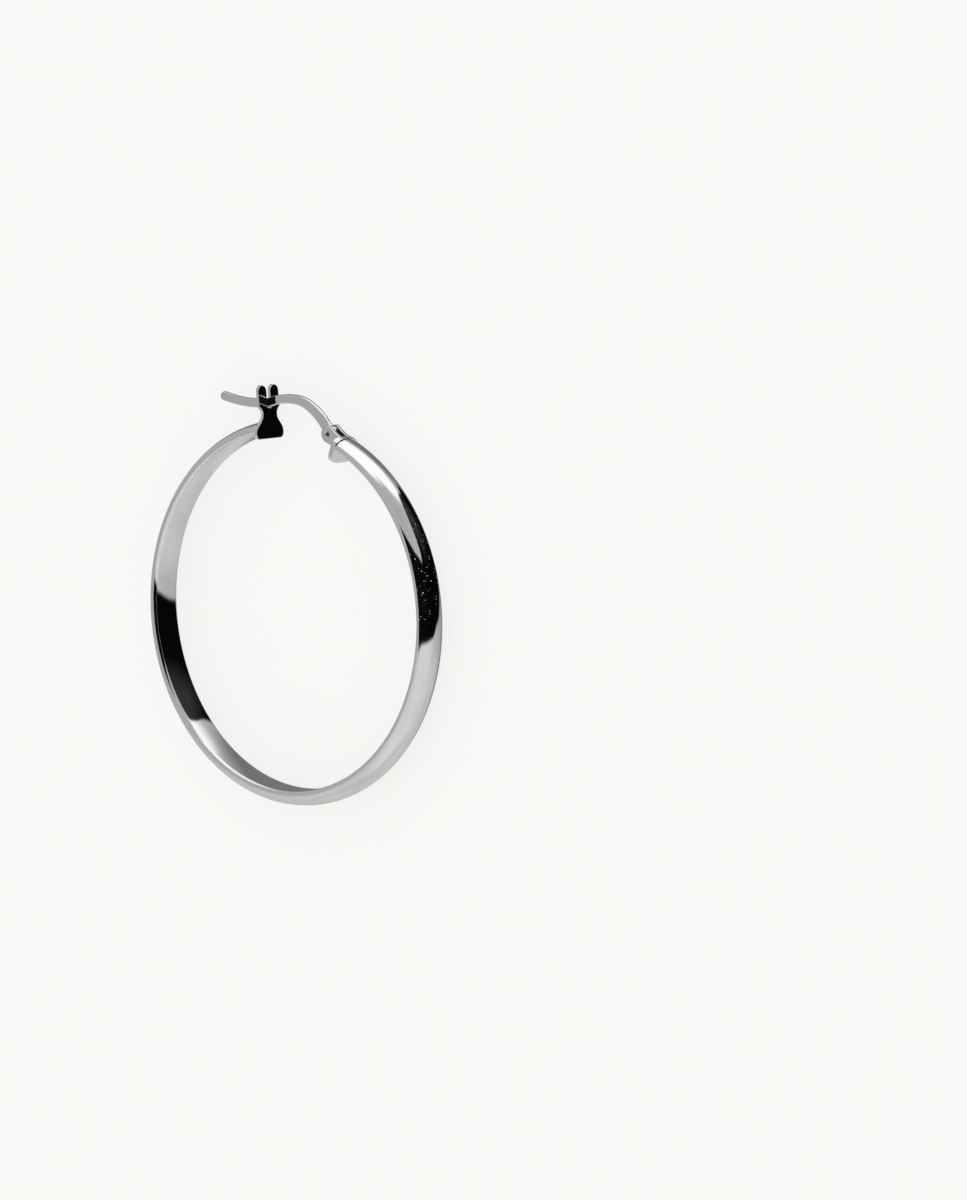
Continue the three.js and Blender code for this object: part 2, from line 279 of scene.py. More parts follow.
half_plate = [(half - foot_run, foot)]
half_plate += bezier([half_plate[-1], (half, foot), (half, foot + FOOT_CORNER)], steps=10)
half_plate += bezier([half_plate[-1], (half, hip_handle), (waist, waist_handle), (waist, 0)], steps=18)
half_plate += bezier([half_plate[-1], (waist, shoulder_handle), (outer, shoulder)], steps=10)
half_plate += arc(ear_middle, ear_radius, 0, pi, steps=24)
half_plate += bezier([notch_side, (throat, notch_foot), (throat - SEAT_CORNER, notch_foot)], steps=6)
print("half of the plate has", len(half_plate), "points")

# %% The catch plate
plate_outline = []
for across, rise in half_plate + [(-across, rise) for across, rise in reversed(half_plate)]:
    lean = max(rise, 0) * EARS_LEAN
    spot = Vector((-CATCH_OFFSET - lean, plate_foot + WAIST_HEIGHT + rise, across))
    plate_outline.append(CENTRE + spot)
plate_shift = Vector((-PLATE_THICKNESS, 0, 0))
catch_plate = piece_from(extruded(plate_outline, plate_shift), "catch_plate", "hoop_body", "hoop")
soften(catch_plate, PLATE_BEVEL, segments=3)

# %% [markdown]
# ## The hinge cap and its fork
# The right end of the tube is closed by a thicker cap with full shoulders, and a lobe that hangs
# inwards past the tube's inner face. On the cap stand two flat ears, one each side of the wire's eye.
# The real ones are cut from thick sheet and soldered on, so they are made as bevelled plates too. The
# pin's hole could be a Boolean. Here it is a second outline inside the ear's own: the face between the
# two is filled and then raised, which leaves clean edges for the bevel.

# %% The hinge cap
CAP_OVERHANG = 0.06 * MM
LOBE_DROP = 1.38 * MM
LOBE_WIDTH = 3.3 * MM
CAP_BEVEL = 0.04 * MM
CAP_CURVES = {"crest": 0.7, "fall": 0.2, "side": 0.3, "hip": 0.35, "flank": 0.95, "tip": 0.6}

cap_top = HOOP_RADIUS + CAP_OVERHANG
cap_half = BAND_WIDTH["top"] / 2 + CAP_OVERHANG
cap_bottom = inner_radius - LOBE_DROP
lobe = LOBE_WIDTH / 2
crest = cap_half * CAP_CURVES["crest"]
fall = cap_top - BAND_DEPTH["top"] * CAP_CURVES["fall"]
cap_side = inner_radius + BAND_DEPTH["top"] * CAP_CURVES["side"]
hip = inner_radius - LOBE_DROP * CAP_CURVES["hip"]
flank = inner_radius - LOBE_DROP * CAP_CURVES["flank"]
tip = lobe * CAP_CURVES["tip"]

half_cap = [(cap_top, 0)]
half_cap += bezier([half_cap[-1], (cap_top, crest), (fall, cap_half), (cap_side, cap_half)], steps=18)
half_cap += bezier([half_cap[-1], (inner_radius, cap_half), (hip, lobe)], steps=8)
half_cap += bezier([half_cap[-1], (flank, lobe), (cap_bottom, tip), (cap_bottom, 0)], steps=18)
cap_drawing = half_cap + [(a, -b) for a, b in reversed(half_cap[1:-1])]
cap_outline = placed(HINGE_ANGLE, [(a, b, 0) for a, b in cap_drawing])
cap_shift = hinge_onward * CAP_THICKNESS
hinge_cap = piece_from(extruded(cap_outline, cap_shift), "hinge_cap", "hoop_body", "hoop")
soften(hinge_cap, CAP_BEVEL, segments=3)

# %% Draw an ear of the fork, with the pin's hole
FORK_EAR_RADIUS = 0.92 * MM
FORK_CURVES = {"foot": 0.5, "crest": 0.8, "saddle": 0.4}
PIN_HOLE_RADIUS = 0.29 * MM

pivot_place = (PIVOT_RADIUS, -PIVOT_STANDOFF)
fork_drawing = [
    (PIVOT_RADIUS - FORK_EAR_RADIUS, CAP_THICKNESS * FORK_CURVES["foot"]),
    (HOOP_RADIUS, CAP_THICKNESS),
    (cap_top, CAP_THICKNESS * FORK_CURVES["crest"]),
]
saddle = (cap_top, -PIVOT_STANDOFF * FORK_CURVES["saddle"])
crown = (PIVOT_RADIUS + FORK_EAR_RADIUS, -PIVOT_STANDOFF)
fork_drawing += bezier([fork_drawing[-1], saddle, crown], steps=12)[:-1]
fork_drawing += arc(pivot_place, FORK_EAR_RADIUS, 0, -pi, steps=32)
hole_drawing = arc(pivot_place, PIN_HOLE_RADIUS, 0, -2 * pi, steps=32)[:-1]
print("an ear has", len(fork_drawing), "points and its hole", len(hole_drawing))

# %% The ears of the fork
FORK_EAR_THICKNESS = 0.4 * MM
FORK_SLOT = 0.7 * MM
FORK_BEVEL = 0.09 * MM
FLAT_ANGLE = 0.01


def fork_ear(name, start):
    """One ear of the fork, from that axial height, with the pin's hole through it."""
    builder = bmesh.new()
    edges = []
    for drawing in (fork_drawing, hole_drawing):
        ring = placed(HINGE_ANGLE, [(a, start, c) for a, c in drawing])
        verts = [builder.verts.new(point) for point in ring]
        edges += [builder.edges.new((verts[i - 1], verts[i])) for i in range(len(verts))]
    bmesh.ops.triangle_fill(builder, edges=edges, use_beauty=True)
    bmesh.ops.dissolve_limit(builder, angle_limit=FLAT_ANGLE, verts=builder.verts, edges=builder.edges)
    raised = bmesh.ops.extrude_face_region(builder, geom=builder.faces[:])["geom"]
    moved = [item for item in raised if isinstance(item, bmesh.types.BMVert)]
    bmesh.ops.translate(builder, verts=moved, vec=(0, 0, FORK_EAR_THICKNESS))
    ear = piece_from(builder, name, "hoop_body", "hoop")
    soften(ear, FORK_BEVEL, segments=4)
    return ear


fork_ears = [
    fork_ear("fork_ear_upper", FORK_SLOT / 2),
    fork_ear("fork_ear_lower", -FORK_SLOT / 2 - FORK_EAR_THICKNESS),
]

# %% [markdown]
# ## The hinge pin
# A short rivet is the axle. The riveting punch presses its ends hollow, which shows as a dark dot in
# the middle of the ear, darkened further by painted shade in the dimple. A cylinder with a Boolean
# dimple could do, but here a half profile is spun about the axis, as a lathe turns a bar, so that one
# list holds every rounding.

# %% Helper for turned pieces
def spun(profile, sides):
    """A body turned from (radius, height) points about the upright line through the pivot."""
    builder = bmesh.new()
    turns = [2 * pi * i / sides for i in range(sides)]
    rows = []
    for radius, height in profile:
        if radius == 0:
            row = [builder.verts.new(PIVOT + Vector((0, 0, height)))] * sides
        else:
            spots = [Vector((radius * cos(t), radius * sin(t), height)) for t in turns]
            row = [builder.verts.new(PIVOT + spot) for spot in spots]
        rows.append(row)
    for here, there in zip(rows, rows[1:]):
        for i in range(sides):
            j = (i + 1) % sides
            corners = []
            for vert in (here[i], here[j], there[j], there[i]):
                if vert not in corners:
                    corners.append(vert)
            builder.faces.new(corners)
    return builder

# %% The hinge pin
PIN_RADIUS = 0.25 * MM
PIN_SIDES = 32
PIN_RIM = {"flat_to": 0.88, "chamfer": 0.15}
DIMPLE_RADIUS = PIN_RADIUS * 0.8
DIMPLE_DEPTH = 0.3 * MM
DIMPLE_SHAPE = [(0, 1), (0.7, 0.9), (0.95, 0.4), (1, 0.1)]     # shares of its radius and its depth

pin_end = -(pin_high[2] - pin_low[2]) / 2
pin_profile = [(DIMPLE_RADIUS * out, pin_end + DIMPLE_DEPTH * deep) for out, deep in DIMPLE_SHAPE]
pin_profile.append((PIN_RADIUS * PIN_RIM["flat_to"], pin_end))
pin_profile.append((PIN_RADIUS, pin_end + PIN_RADIUS * PIN_RIM["chamfer"]))
pin_profile += [(radius, -height) for radius, height in reversed(pin_profile)]
rivet = piece_from(spun(pin_profile, PIN_SIDES), "rivet", "hoop_body", "hinge_pin")

# %% [markdown]
# ## The ear wire
# Silver wire is rolled to a strip with two flat sides, left taller towards its eye, bent to an arch,
# and rounded at its tip so that it can pass a pierced ear. The bend line goes through its seat in the
# notch and through the pivot, and its other points are shares of the straight line between the two.
# Bezier handles would take two more points for each bend. A centripetal Catmull-Rom curve goes through
# the points themselves, and never loops or overshoots where they lie at uneven distances.

# %% A smooth line through points
def smooth_line(knots, steps):
    """A centripetal Catmull-Rom line through the knots, with that many points for each stretch."""
    ends = [knots[0] * 2 - knots[1]] + knots + [knots[-1] * 2 - knots[-2]]
    line = []
    for i in range(1, len(knots)):
        p = ends[i - 1:i + 3]
        t = [0.0]
        for a, b in zip(p, p[1:]):
            t.append(t[-1] + sqrt((b - a).length))
        for u in np.linspace(t[1], t[2], steps, endpoint=False):
            level = list(p)
            for reach in (1, 2):
                level = [
                    (level[k] * (t[k + reach] - u) + level[k + 1] * (u - t[k])) / (t[k + reach] - t[k])
                    for k in range(len(level) - 1)
                ]
            line.append((level[0] * (t[2] - u) + level[1] * (u - t[1])) / (t[2] - t[1]))
    line.append(knots[-1])
    return line

# %% The bend line
WIRE_BENDS = [
    {"name": "tip", "along": -0.676, "rise": -0.154},
    {"name": "dip", "along": -0.419, "rise": -0.1245},
    {"name": "before catch", "along": -0.2, "rise": -0.073},
    {"name": "catch", "along": 0, "rise": 0},
    {"name": "after catch", "along": 0.1343, "rise": 0.0804},
    {"name": "arch start", "along": 0.3119, "rise": 0.153},
    {"name": "arch top", "along": 0.4804, "rise": 0.1865},
    {"name": "arch end", "along": 0.6073, "rise": 0.174},
    {"name": "root", "along": 0.7744, "rise": 0.12},
    {"name": "neck", "along": 0.9114, "rise": 0.0413},
    {"name": "pivot", "along": 1, "rise": 0},
]
LINE_STEPS = 60

seat_lean = (SEAT_HEIGHT - WAIST_HEIGHT) * EARS_LEAN
seat = CENTRE + Vector((plate_middle - seat_lean, plate_foot + SEAT_HEIGHT, 0))
chord = PIVOT - seat
square = Vector((-chord.y, chord.x, 0))
bends = [seat + chord * bend["along"] + square * bend["rise"] for bend in WIRE_BENDS]
fine_line = smooth_line(bends, LINE_STEPS)
strides = [(b - a).length for a, b in zip(fine_line, fine_line[1:])]
reached = np.concatenate([[0], np.cumsum(strides)])
wire_length = float(reached[-1])
print("ear wire length (mm):", round(wire_length / MM, 2))

# %% [markdown]
# Each section along the wire is an oval whose sides are held within the strip's thickness. A hard
# limit would leave a knife edge where the oval meets the flat, and rolled wire has none, so the limit
# is a soft one. The arch ends inside the ring of its eye, clear of the pin.

# %% A section of the wire
WIRE_THICKNESS = 0.5 * MM
WIRE_FULLNESS = 1.15
WIRE_SIDES = 64
ROOT_HEIGHT = 1.25 * MM
ROOT_LENGTH = 1.4 * MM
ROOT_RUNOUT = 6.5 * MM
SLOPE_STEP = 0.05 * MM
LIMIT_SHARPNESS = 10
fine_points = np.array([list(point) for point in fine_line])


def wire_point(at):
    """The bend line's point at that distance from the tip."""
    return Vector([float(np.interp(at, reached, fine_points[:, k])) for k in range(3)])


def smoothstep(value, low, high):
    """0 below low and 1 above high, with an S-curve between."""
    share = min(max((value - low) / (high - low), 0), 1)
    return share * share * (3 - 2 * share)


def soft_limit(value, limit):
    """The value held within a limit, with a rounded corner where it meets it."""
    over = abs(value / limit) ** LIMIT_SHARPNESS
    return value / (1 + over) ** (1 / LIMIT_SHARPNESS)


def wire_ring(at):
    """The wire's section at that distance from the tip."""
    onward = wire_point(min(at + SLOPE_STEP, wire_length)) - wire_point(max(at - SLOPE_STEP, 0))
    outward = Vector((0, 0, 1)).cross(onward.normalized())
    taper = sqrt(1 - max(1 - at / (WIRE_HEIGHT / 2), 0) ** 2)
    rolled = 1 - smoothstep(wire_length - at, ROOT_LENGTH, ROOT_LENGTH + ROOT_RUNOUT)
    height = taper * (WIRE_HEIGHT + (ROOT_HEIGHT - WIRE_HEIGHT) * rolled)
    reach = taper * WIRE_FULLNESS * WIRE_HEIGHT / 2
    ring = []
    for i in range(WIRE_SIDES):
        turn = 2 * pi * i / WIRE_SIDES
        across = soft_limit(reach * sin(turn), WIRE_THICKNESS / 2)
        ring.append(wire_point(at) + outward * (height / 2 * cos(turn)) + Vector((0, 0, across)))
    return ring

# %% The ear wire and its eye
WIRE_STEPS = 260
TIP_STEPS = 10
TIP_START = 0.2
EYE_RADIUS = 0.82 * MM
EYE_THICKNESS = 0.6 * MM
EYE_SIDES = 64
EYE_BEVEL = 0.05 * MM
EYE_ROUNDING = [(2, 0), (0.6, 0.6), (0, 2)]     # in from the rim and along it, in bevels

tip_reach = WIRE_HEIGHT / 2
tip_turns = [(i + TIP_START) / TIP_STEPS * pi / 2 for i in range(TIP_STEPS)]
stations = [tip_reach * (1 - cos(t)) for t in tip_turns]
stations += list(np.linspace(tip_reach, wire_length - PIN_HOLE_RADIUS - EYE_BEVEL, WIRE_STEPS))
wire = piece_from(loft([wire_ring(at) for at in stations]), "ear_wire_arch", "wire_body", "ear_wire")

eye_end = -EYE_THICKNESS / 2
eye_profile = [(PIN_HOLE_RADIUS, eye_end + EYE_BEVEL), (PIN_HOLE_RADIUS + EYE_BEVEL, eye_end)]
eye_profile += [(EYE_RADIUS - EYE_BEVEL * a, eye_end + EYE_BEVEL * b) for a, b in EYE_ROUNDING]
eye_profile += [(radius, -height) for radius, height in reversed(eye_profile)]
eye_profile.append(eye_profile[0])
eye = piece_from(spun(eye_profile, EYE_SIDES), "ear_wire_eye", "wire_body", "ear_wire")

# %% [markdown]
# ## Helpers for materials
# One function turns an sRGB hex colour to the linear values that a shader works in. Another adds a
# node with its settings and links, so that each recipe below reads from top to bottom.

# %% Colour and node helpers
def linear(hex_colour):
    """An sRGB hex colour as linear RGBA."""
    values = [int(hex_colour[i:i + 2], 16) / 255 for i in (1, 3, 5)]
    return [v / 12.92 if v <= 0.04045 else ((v + 0.055) / 1.055) ** 2.4 for v in values] + [1.0]


def add(tree, kind, inputs=None, **settings):
    """A node with its settings. An input is a value, or another node's output to link to it."""
    node = tree.nodes.new(kind)
    for name, value in settings.items():
        setattr(node, name, value)
    for name, value in (inputs or {}).items():
        if isinstance(value, bpy.types.NodeSocket):
            tree.links.new(value, node.inputs[name])
        else:
            node.inputs[name].default_value = value
    return node

# %% [markdown]
# ## Polished silver
# The metal is silver, tumbled and buffed to a mirror. Bare metal has no colour of its own beyond what
# it reflects, so its colour is nearly white and the look comes from the room. Buffing leaves hair-fine
# lines along the tube, which blur a reflection a little and give it a sheen. Bending the tube leaves it
# slightly wavy, so that the edge of a reflection wavers. A few matt specks of dust lie on the right
# side of the dome, and show where it reflects black. Both could be painted as images, but noise has no
# seams and no pixels. It is laid out on the unrolled tube, so that the lines run round the hoop.

# %% Sizes of the finish
SILVER = linear("#EDEDEE")
LINE_SPACING = 0.06 * MM     # the real lines are finer, too fine to show
LINE_LENGTH = 2 * MM
LINE_DEPTH = 0.0009 * MM
WAVE_LENGTH = 2.5 * MM
WAVE_DEPTH = 0.006 * MM
POLISH = {"sharp": 0.035, "blurred": 0.075}
SPECK_SPACING = 0.28 * MM
SPECK_RADIUS = 0.055 * MM    # real dust is finer, and would vanish between pixels
SPECKLESS = 0.2
SPECK_ROUGHNESS = 0.8
SPECK_FADES = [
    {"measure": "radius", "none": HOOP_RADIUS - 1.1 * MM, "full": HOOP_RADIUS - 1.0 * MM},
    {"measure": "angle", "none": radians(46), "full": radians(60)},
    {"measure": "angle", "none": radians(115), "full": radians(80)},
]
print("buffing lines", LINE_SPACING / MM, "mm apart, specks of", SPECK_RADIUS * 2 / MM, "mm")

# %% Unroll the tube
silver = bpy.data.materials.new("polished_silver")
silver.use_nodes = True
tree = silver.node_tree
tree.nodes.clear()
place = add(tree, "ShaderNodeTexCoord").outputs["Object"]
from_centre = add(tree, "ShaderNodeVectorMath", {0: place, 1: CENTRE}, operation="SUBTRACT").outputs[0]
x, y, z = add(tree, "ShaderNodeSeparateXYZ", {0: from_centre}).outputs
angle = add(tree, "ShaderNodeMath", {0: x, 1: y}, operation="ARCTAN2").outputs[0]
around = add(tree, "ShaderNodeMath", {0: angle, 1: HOOP_RADIUS}, operation="MULTIPLY").outputs[0]
radius = add(tree, "ShaderNodeVectorMath", {0: from_centre}, operation="LENGTH").outputs["Value"]
unrolled = add(tree, "ShaderNodeCombineXYZ", {0: around, 1: radius, 2: z}).outputs[0]
print("unrolled tube is", round(2 * pi * HOOP_RADIUS / MM, 1), "mm long")

# %% Buffing lines and waves
line_scale = (1 / LINE_LENGTH, 1 / LINE_SPACING, 1 / LINE_SPACING)
stretched = add(tree, "ShaderNodeVectorMath", {0: unrolled, 1: line_scale},
                operation="MULTIPLY").outputs[0]
buffing = add(tree, "ShaderNodeTexNoise", {"Vector": stretched, "Scale": 1.0, "Detail": 3.0,
                                           "Roughness": 0.6}).outputs[0]
polish = add(tree, "ShaderNodeMapRange", {"Value": buffing, "From Min": 0.3, "From Max": 0.75,
                                          "To Min": POLISH["sharp"],
                                          "To Max": POLISH["blurred"]}).outputs[0]
lines = add(tree, "ShaderNodeBump", {"Strength": 1.0, "Distance": LINE_DEPTH,
                                     "Height": buffing}).outputs[0]
waves = add(tree, "ShaderNodeTexNoise", {"Vector": unrolled, "Scale": 1 / WAVE_LENGTH,
                                         "Detail": 1.0, "Roughness": 0.4}).outputs[0]
surface = add(tree, "ShaderNodeBump", {"Strength": 1.0, "Distance": WAVE_DEPTH, "Height": waves,
                                       "Normal": lines}).outputs[0]
print("surface has", len(tree.nodes), "nodes so far")

# %% Specks of dust
cells = add(tree, "ShaderNodeTexVoronoi", {"Vector": unrolled, "Scale": 1 / SPECK_SPACING,
                                           "Randomness": 1.0}, feature="F1").outputs
chance = add(tree, "ShaderNodeSeparateXYZ", {0: cells["Color"]}).outputs["X"]
size = add(tree, "ShaderNodeMapRange", {"Value": chance, "From Min": SPECKLESS, "From Max": 1.0,
                                        "To Max": SPECK_RADIUS / SPECK_SPACING}).outputs[0]
measures = {"radius": radius, "angle": angle}
for fade in SPECK_FADES:
    share = add(tree, "ShaderNodeMapRange", {"Value": measures[fade["measure"]],
                                             "From Min": fade["none"],
                                             "From Max": fade["full"]}).outputs[0]
    size = add(tree, "ShaderNodeMath", {0: size, 1: share}, operation="MULTIPLY").outputs[0]
speck = add(tree, "ShaderNodeMath", {0: cells["Distance"], 1: size}, operation="LESS_THAN").outputs[0]
print("specks fade over", len(SPECK_FADES), "borders")

# %% Finish the silver
metallic = add(tree, "ShaderNodeMath", {0: 1.0, 1: speck}, operation="SUBTRACT").outputs[0]
roughness = add(tree, "ShaderNodeMix", {0: speck, 2: polish, 3: SPECK_ROUGHNESS},
                data_type="FLOAT").outputs[0]
shader = add(tree, "ShaderNodeBsdfPrincipled", {"Base Color": SILVER, "Metallic": metallic,
                                                "Roughness": roughness, "Normal": surface})
add(tree, "ShaderNodeOutputMaterial", {"Surface": shader.outputs[0]})
print("polished silver has", len(tree.nodes), "nodes")

# %% [markdown]
# ## Painted shade in the recesses
# A buffing wheel doesn't reach between the ears of the fork or into the rivet's dimple, so the silver
# there stays rougher, and little light falls in. That shade is painted into the colour as a grey, so it
# shows as a dark dot and a dark slot in an otherwise bright hinge. A second material on chosen faces
# could do, but the bevels would carry it past the edge. Here it is the same silver, with painted shade
# and more roughness where the place lies in the slot or in the dimple.

# %% Silver with painted shade
# Painted shade: this grey darkens the silver in the fork's slot and the rivet's dimple, where little
# light gets in.
RECESS_SHADE_GREY = linear("#8C8C88")
RECESS_ROUGHNESS = 0.4
SLOT_REACH = FORK_SLOT / 2 + 0.02 * MM
DIMPLE_REACH = DIMPLE_RADIUS * 1.04

shaded_silver = silver.copy()
tree = shaded_silver.node_tree
shader = tree.nodes["Principled BSDF"]
place = add(tree, "ShaderNodeTexCoord").outputs["Object"]
from_pivot = add(tree, "ShaderNodeVectorMath", {0: place, 1: PIVOT}, operation="SUBTRACT").outputs[0]
z = add(tree, "ShaderNodeSeparateXYZ", {0: from_pivot}).outputs["Z"]
height = add(tree, "ShaderNodeMath", {0: z}, operation="ABSOLUTE").outputs[0]
level = add(tree, "ShaderNodeVectorMath", {0: from_pivot, 1: (1, 1, 0)}, operation="MULTIPLY").outputs[0]
radius = add(tree, "ShaderNodeVectorMath", {0: level}, operation="LENGTH").outputs["Value"]
in_slot = add(tree, "ShaderNodeMath", {0: height, 1: SLOT_REACH}, operation="LESS_THAN").outputs[0]
in_dimple = add(tree, "ShaderNodeMath", {0: radius, 1: DIMPLE_REACH}, operation="LESS_THAN").outputs[0]
# Where the painted shade goes: in the slot or in the dimple.
shaded_recess = add(tree, "ShaderNodeMath", {0: in_slot, 1: in_dimple}, operation="MAXIMUM").outputs[0]
colour = add(tree, "ShaderNodeMix", {0: shaded_recess, 6: SILVER, 7: RECESS_SHADE_GREY}, data_type="RGBA").outputs[2]
polish = shader.inputs["Roughness"].links[0].from_socket
roughness = add(tree, "ShaderNodeMix", {0: shaded_recess, 2: polish, 3: RECESS_ROUGHNESS},
                data_type="FLOAT").outputs[0]
tree.links.new(colour, shader.inputs["Base Color"])
tree.links.new(roughness, shader.inputs["Roughness"])

for piece in (band, catch_plate, hinge_cap, wire, eye):
    piece.data.materials.append(silver)
# The fork's ears and the rivet take the silver with painted shade in its recesses.
for piece in (*fork_ears, rivet):
    piece.data.materials.append(shaded_silver)

# %% [markdown]
# ## The floor
# The earring lies on matt white paper, rolled smooth, that fills the picture. It lies a hair below the
# hoop. Lamps alone would shade it unevenly, so most of its light is its own glow, and it stays plain
# with only a breath of shadow. It isn't seen in the mirror of the silver, because the studio below
# paints all that is.

# %% The floor
PAPER = linear("#F9F8F6")
PAPER_GLOW = 0.85
PAPER_REACH = 3.0
PAPER_GAP = 0.01 * MM

corners = [(a * PAPER_REACH, b * PAPER_REACH, 0) for a, b in ((-1, -1), (1, -1), (1, 1), (-1, 1))]
floor_mesh = bpy.data.meshes.new("floor")
floor_mesh.from_pydata(corners, [], [(0, 1, 2, 3)])
floor = bpy.data.objects.new("floor", floor_mesh)
bpy.context.scene.collection.objects.link(floor)
floor.location.z = CAD_BOX[0][2] - PAPER_GAP
floor.visible_glossy = False

paper = bpy.data.materials.new("paper_sweep")
paper.use_nodes = True
paper_inputs = paper.node_tree.nodes["Principled BSDF"].inputs
paper_inputs["Base Color"].default_value = [v * (1 - PAPER_GLOW) for v in PAPER[:3]] + [1]
paper_inputs["Emission Color"].default_value = PAPER
paper_inputs["Emission Strength"].default_value = PAPER_GLOW
paper_inputs["Roughness"].default_value = 1.0
paper_inputs["Specular IOR Level"].default_value = 0.0
floor_mesh.materials.append(paper)
print("floor lies at", round(floor.location.z / MM, 3), "mm")

# %% [markdown]
# ## The studio
# A mirror shows its room, so the room is the most important light. This one is a pale tent with a
# black card behind and beside the hoop, bright white above the card, a grey screen to its left, and
# softer light below. Real cards and lamps could stand round the hoop, but each would need its own
# place and size. Painting the world by direction puts an edge exactly where the mirror needs it. A
# direction has a turn, in degrees round the upright line of the picture from straight behind the hoop,
# and a height, in degrees above the level. The table says how high the card starts and ends at each
# turn, and where the white begins.

# %% The studio's edges
STUDIO_EDGES = [
    {"round": -180, "card_top": 20, "card_foot": -12, "white_from": 50},
    {"round": -170, "card_top": 5, "card_foot": -9, "white_from": 50},
    {"round": -155, "card_top": -9, "card_foot": -7, "white_from": 50},
    {"round": -30, "card_top": -9, "card_foot": -5, "white_from": 54},
    {"round": -14, "card_top": 18.5, "card_foot": 0, "white_from": 53},
    {"round": -4, "card_top": 31.5, "card_foot": 0, "white_from": 50},
    {"round": 10, "card_top": 39.5, "card_foot": -1, "white_from": 47.5},
    {"round": 25, "card_top": 49, "card_foot": -4, "white_from": 45},
    {"round": 42, "card_top": 51, "card_foot": -6, "white_from": 52},
    {"round": 60, "card_top": 46, "card_foot": -11, "white_from": 60},
    {"round": 80, "card_top": 27, "card_foot": -13, "white_from": 69},
    {"round": 96, "card_top": 30, "card_foot": -14, "white_from": 72},
    {"round": 120, "card_top": 31, "card_foot": -14, "white_from": 73},
    {"round": 150, "card_top": 29, "card_foot": -13, "white_from": 65},
    {"round": 180, "card_top": 20, "card_foot": -12, "white_from": 50},
]
print("studio edges at", len(STUDIO_EDGES), "turns")

# %% Measure the direction
LIGHT_ROUND = radians(125)

world = bpy.data.worlds.new("studio")
bpy.context.scene.world = world
world.use_nodes = True
tree = world.node_tree
tree.nodes.clear()
direction = add(tree, "ShaderNodeTexCoord").outputs["Generated"]
x, y, z = add(tree, "ShaderNodeSeparateXYZ", {0: direction}).outputs
behind = add(tree, "ShaderNodeMath", {0: z, 1: -1.0}, operation="MULTIPLY").outputs[0]
turned = add(tree, "ShaderNodeMath", {0: x, 1: behind}, operation="ARCTAN2").outputs[0]
turn = add(tree, "ShaderNodeMath", {0: turned}, operation="DEGREES").outputs[0]
raised = add(tree, "ShaderNodeMath", {0: y}, operation="ARCSINE").outputs[0]
height = add(tree, "ShaderNodeMath", {0: raised}, operation="DEGREES").outputs[0]
off_light = add(tree, "ShaderNodeMath", {0: turned, 1: LIGHT_ROUND}, operation="SUBTRACT").outputs[0]
towards_light = add(tree, "ShaderNodeMath", {0: off_light}, operation="COSINE").outputs[0]
share_round = add(tree, "ShaderNodeMapRange", {"Value": turn, "From Min": -180.0,
                                               "From Max": 180.0}).outputs[0]
print("direction measured with", len(tree.nodes), "nodes")

# %% [markdown]
# The studio is painted coat by coat, like a backdrop. A mask says where a coat goes: each of its steps
# names a measure, the line that the measure has to pass, and how wide the soft edge at that line is. A
# negative width means that the measure stays below the line. Wide edges stand for cloth that curves
# away and narrow ones for the card. A slow noise stands for the folds of the tent.

# %% Helpers for painting
def edge(column):
    """The height of one studio edge, in degrees, as it runs round the hoop."""
    node = add(tree, "ShaderNodeFloatCurve", {1: share_round})
    curve = node.mapping.curves[0]
    rows = [(row["round"] / 360 + 0.5, row[column] / 180 + 0.5) for row in STUDIO_EDGES]
    curve.points[0].location = rows[0]
    curve.points[1].location = rows[-1]
    for row in rows[1:-1]:
        curve.points.new(*row)
    node.mapping.update()
    return add(tree, "ShaderNodeMapRange", {"Value": node.outputs[0], "To Min": -90.0, "To Max": 90.0},
               clamp=False).outputs[0]


def mask(*steps):
    """1 where the measure of every step passes its line, and 0 elsewhere."""
    share = 1.0
    for measure, line, width in steps:
        past = add(tree, "ShaderNodeMath", {0: measure, 1: line}, operation="SUBTRACT").outputs[0]
        step = add(tree, "ShaderNodeMapRange", {"Value": past, "From Min": -width / 2,
                                                "From Max": width / 2},
                   interpolation_type="SMOOTHSTEP").outputs[0]
        share = add(tree, "ShaderNodeMath", {0: share, 1: step}, operation="MULTIPLY").outputs[0]
    return share

# %% Paint the tent
TENT = {"dim": 0.40, "floor": 0.60, "light": 0.72, "grey": 0.47}
FOLDS = {"dimmest": 0.92, "brightest": 1.08}

low = mask((height, -18, -26))
lit = mask((towards_light, 0.35, 1.3))
high = mask((height, 4, 24))
room = TENT["dim"]
for where, coat in ((low, TENT["floor"]), (lit, TENT["light"]), (high, TENT["grey"])):
    room = add(tree, "ShaderNodeMix", {0: where, 2: room, 3: coat}, data_type="FLOAT").outputs[0]
noise = add(tree, "ShaderNodeTexNoise", {"Vector": direction, "Scale": 2.6, "Detail": 2.0,
                                         "Roughness": 0.55}).outputs[0]
folds = add(tree, "ShaderNodeMapRange", {"Value": noise, "From Min": 0.3, "From Max": 0.7,
                                         "To Min": FOLDS["dimmest"],
                                         "To Max": FOLDS["brightest"]}).outputs[0]
room = add(tree, "ShaderNodeMath", {0: room, 1: folds}, operation="MULTIPLY").outputs[0]
print("tent painted with", len(tree.nodes), "nodes")

# %% Paint the screen, the white and the card
SCREEN_GREY = 0.19
TENT_WHITE = 1.15
CARD_BLACK = 0.002
CARD_SHEEN = 0.035

